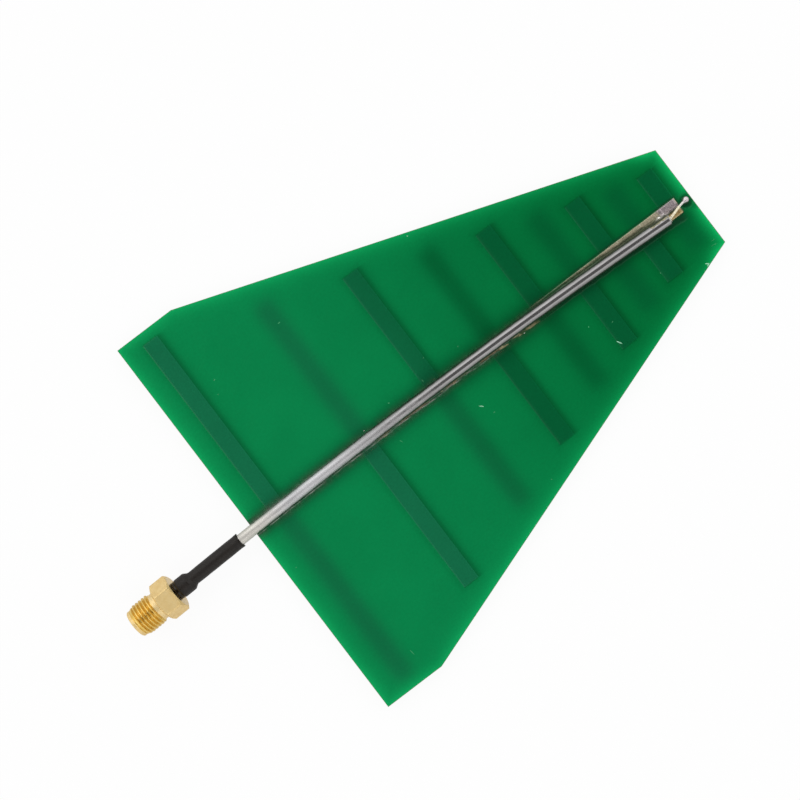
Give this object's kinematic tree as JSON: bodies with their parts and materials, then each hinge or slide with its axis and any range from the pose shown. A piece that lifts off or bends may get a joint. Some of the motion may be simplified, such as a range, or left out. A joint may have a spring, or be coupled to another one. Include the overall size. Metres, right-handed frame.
{
  "type": "log-periodic antenna",
  "caption": "Flat trapezoid circuit-board antenna: printed dipoles of falling length, a semi-rigid coaxial line soldered along the boom, a sleeved threaded jack at the wide end.",
  "frame": {"origin": "middle of the part's footprint, at its lowest point", "axes": "+X along the boom from the jack to the narrow tip, +Y across the board, +Z out of the front face that carries the line"},
  "size_m": [0.1312, 0.084, 0.0074],
  "materials": {
    "laminate": "translucent glass-epoxy with sawn edges",
    "copper": "etched foil",
    "green_coating": "glossy translucent green",
    "solder": "uneven tin with brown flux",
    "tinned_copper": "drawn and tinned, dull at the wide end and bright at the tip",
    "white_core": "waxy white",
    "black_sleeve": "satin black",
    "gold_plate": "bright gold plate over brass"
  },
  "bodies": {
    "root": {"substrate": "laminate", "front_copper": "copper", "back_copper": "copper", "front_solder_mask": "green_coating", "back_solder_mask": "green_coating", "boom_solder": "solder", "feed_solder": "solder", "coax_outer_conductor": "tinned_copper", "coax_dielectric": "white_core", "coax_centre_conductor": "tinned_copper", "heat_shrink_sleeve": "black_sleeve", "connector_body": "gold_plate", "connector_insulator": "white_core", "connector_contact": "gold_plate", "connector_solder": "solder"}
  },
  "joints": []
}
